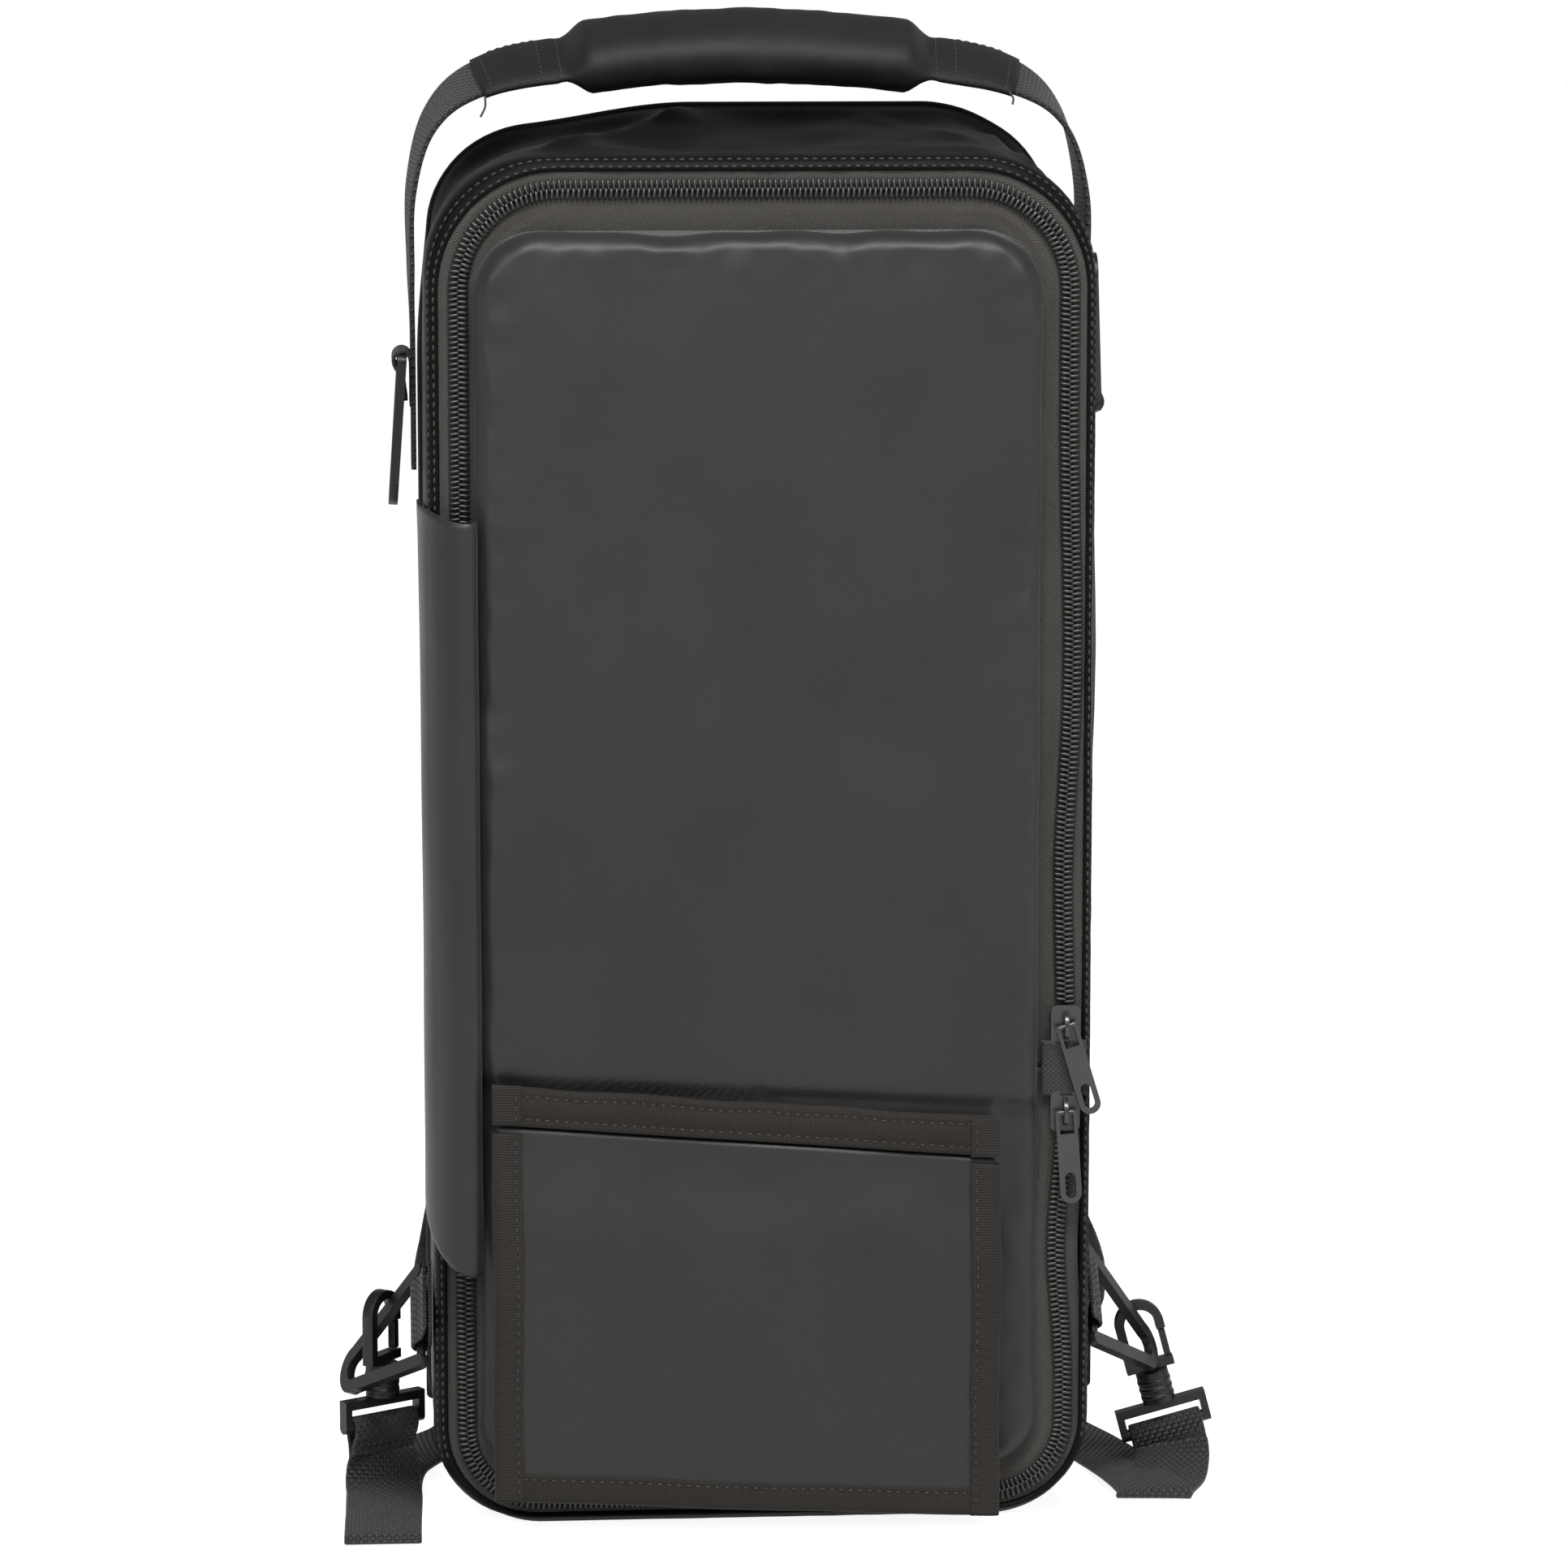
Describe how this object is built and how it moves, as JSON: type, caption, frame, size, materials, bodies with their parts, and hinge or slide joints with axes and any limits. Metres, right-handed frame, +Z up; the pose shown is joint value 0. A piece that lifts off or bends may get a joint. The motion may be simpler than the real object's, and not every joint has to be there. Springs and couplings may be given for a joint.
{
  "type": "drum stick bag",
  "caption": "Upright padded drum stick bag with zip-round cover, bound accessory flap, webbing carry handle and backpack straps on clips.",
  "frame": {"origin": "middle of the base patch's underside, the face that the bag stands on", "axes": "+Z up along the bag's height, +Y towards the back panel with the shoulder straps, +X to the right as seen from the front"},
  "size_m": [0.293, 0.1439, 0.4845],
  "materials": {
    "base_fabric": "coated nylon, matt",
    "binding": "ribbed grosgrain",
    "foam": "closed-cell foam",
    "gusset_fabric": "satin coated nylon",
    "hook_and_loop": "hook and loop pile",
    "lining": "plain weave nylon lining",
    "plastic": "moulded acetal, fine satin",
    "satin_fabric": "satin coated nylon, fine plain weave",
    "strap_fabric": "air mesh, matt",
    "webbing": "coarse woven polypropylene webbing",
    "zip_hardware": "dark coil and coated zip fittings",
    "zip_tape": "herringbone woven tape"
  },
  "bodies": {
    "bag": {"gusset_wall": "gusset_fabric", "back_outer": "satin_fabric", "back_foam": "foam", "back_lining": "lining", "back_piping": "binding", "base_patch": "base_fabric", "base_board": "foam", "hinge_strip": "satin_fabric", "zip_patch": "zip_tape", "upper_tape_body": "zip_tape", "upper_coil_body": "zip_hardware", "lower_tape_body": "zip_tape", "lower_coil_body": "zip_hardware", "stick_pocket": "lining", "stick_pocket_binding": "binding", "left_strap_cover": "strap_fabric", "right_strap_cover": "strap_fabric", "left_strap_foam": "foam", "right_strap_foam": "foam", "left_adjust_webbing": "webbing", "right_adjust_webbing": "webbing", "lower_tab_left": "webbing", "lower_tab_right": "webbing"},
    "cover": {"cover_outer": "satin_fabric", "cover_foam": "foam", "cover_lining": "lining", "upper_tape_cover": "zip_tape", "upper_coil_cover": "zip_hardware", "lower_tape_cover": "zip_tape", "lower_coil_cover": "zip_hardware", "accessory_pocket": "satin_fabric", "pocket_loop_tape": "hook_and_loop", "flap_top_binding": "binding", "inner_pocket": "lining", "inner_pocket_binding": "binding"},
    "flap": {"flap_panel": "satin_fabric", "flap_edge_binding": "binding", "flap_hook_tape": "hook_and_loop"},
    "handle": {"handle_webbing": "webbing", "handle_foam": "foam", "handle_wrap": "satin_fabric", "upper_tab_left": "webbing", "upper_tab_right": "webbing"},
    "upper_ring_left": {"upper_ring_left": "plastic"},
    "upper_ring_right": {"upper_ring_right": "plastic"},
    "lower_ring_left": {"lower_ring_left": "plastic"},
    "lower_ring_right": {"lower_ring_right": "plastic"},
    "hook_left": {"hook_left": "plastic"},
    "hook_right": {"hook_right": "plastic"},
    "gate_left": {"gate_left": "plastic"},
    "gate_right": {"gate_right": "plastic"},
    "swivel_left": {"swivel_left": "plastic"},
    "swivel_right": {"swivel_right": "plastic"},
    "upper_slider": {"upper_slider": "zip_hardware"},
    "lower_slider": {"lower_slider": "zip_hardware"},
    "upper_pull": {"upper_pull": "zip_hardware"},
    "lower_pull": {"lower_pull": "zip_hardware"},
    "ladder_lock_left": {"ladder_lock_left": "plastic"},
    "ladder_lock_right": {"ladder_lock_right": "plastic"}
  },
  "joints": [
    {"name": "cover_hinge", "type": "hinge", "parent": "bag", "child": "cover", "pos_m": [-0.093, -0.0571, 0.23], "axis": [0, 0, -1], "range_deg": [0, 150], "deforming": ["hinge_strip"]},
    {"name": "flap_hinge", "type": "hinge", "parent": "cover", "child": "flap", "pos_m": [-0.0055, -0.0604, 0.1297], "axis": [-0.9968, 0, 0.0795], "range_deg": [0, 165]},
    {"name": "handle_swing", "type": "hinge", "parent": "bag", "child": "handle", "pos_m": [0, 0.02, 0.352], "axis": [-1, 0, 0], "range_deg": [-70, 90]},
    {"name": "upper_slider_slide", "type": "slide", "parent": "bag", "child": "upper_slider", "axis": [0, 0, 1], "range_m": [0, 0.2], "deforming": ["upper_coil_body", "upper_coil_cover"]},
    {"name": "lower_slider_slide", "type": "slide", "parent": "bag", "child": "lower_slider", "axis": [0, 0, -1], "range_m": [0, 0.09], "deforming": ["lower_coil_body", "lower_coil_cover"]},
    {"name": "upper_pull_swing", "type": "hinge", "parent": "upper_slider", "child": "upper_pull", "pos_m": [0.0985, -0.0496, 0.1637], "axis": [-0.9563, 0, -0.2924], "range_deg": [0, 130]},
    {"name": "lower_pull_swing", "type": "hinge", "parent": "lower_slider", "child": "lower_pull", "pos_m": [0.0985, -0.0496, 0.1353], "axis": [-0.9976, 0, -0.0698], "range_deg": [0, 130]},
    {"name": "upper_ring_left_swing", "type": "hinge", "parent": "handle", "child": "upper_ring_left", "pos_m": [-0.113, 0.02, 0.375], "axis": [0, 1, 0], "range_deg": [-4, 170]},
    {"name": "upper_ring_right_swing", "type": "hinge", "parent": "handle", "child": "upper_ring_right", "pos_m": [0.113, 0.02, 0.36], "axis": [0, 1, 0], "range_deg": [0, 174]},
    {"name": "lower_ring_left_swing", "type": "hinge", "parent": "bag", "child": "lower_ring_left", "pos_m": [-0.1102, -0.028, 0.066], "axis": [0, 0.7071, 0.7071], "range_deg": [0, 40], "deforming": ["left_adjust_webbing"]},
    {"name": "lower_ring_right_swing", "type": "hinge", "parent": "bag", "child": "lower_ring_right", "pos_m": [0.1102, -0.022, 0.068], "axis": [0, -0.7071, -0.7071], "range_deg": [-6, 40], "deforming": ["right_adjust_webbing"]},
    {"name": "hook_left_swing", "type": "hinge", "parent": "lower_ring_left", "child": "hook_left", "pos_m": [-0.123, -0.005, 0.061], "axis": [-0.8192, 0.5736, 0], "range_deg": [-3, 3], "deforming": ["left_adjust_webbing"]},
    {"name": "hook_right_swing", "type": "hinge", "parent": "lower_ring_right", "child": "hook_right", "pos_m": [0.131, 0.0106, 0.0492], "axis": [0, 1, 0], "range_deg": [-12, 10], "deforming": ["right_adjust_webbing"]},
    {"name": "gate_left_press", "type": "hinge", "parent": "hook_left", "child": "gate_left", "pos_m": [-0.11916, 0.00049, 0.0494], "axis": [0.8192, -0.5736, 0], "range_deg": [0, 12], "stiffness_Nm_per_rad": 0.01},
    {"name": "gate_right_press", "type": "hinge", "parent": "hook_right", "child": "gate_right", "pos_m": [0.14047, 0.0106, 0.03973], "axis": [0, -1, 0], "range_deg": [0, 12], "stiffness_Nm_per_rad": 0.01},
    {"name": "swivel_left_spin", "type": "hinge", "parent": "hook_left", "child": "swivel_left", "pos_m": [-0.123, -0.005, 0.039], "axis": [0, 0, 1], "continuous": true, "deforming": ["left_adjust_webbing"]},
    {"name": "swivel_right_spin", "type": "hinge", "parent": "hook_right", "child": "swivel_right", "pos_m": [0.13669, 0.0106, 0.02795], "axis": [-0.2588, 0, 0.9659], "continuous": true, "deforming": ["right_adjust_webbing"]},
    {"name": "ladder_lock_left_tilt", "type": "hinge", "parent": "bag", "child": "ladder_lock_left", "pos_m": [-0.092, 0.055, 0.0385], "axis": [1, 0, 0], "range_deg": [0, 60], "deforming": ["left_adjust_webbing"]},
    {"name": "ladder_lock_right_tilt", "type": "hinge", "parent": "bag", "child": "ladder_lock_right", "pos_m": [0.104, 0.055, 0.0385], "axis": [1, 0, 0], "range_deg": [0, 60], "deforming": ["right_adjust_webbing"]}
  ]
}
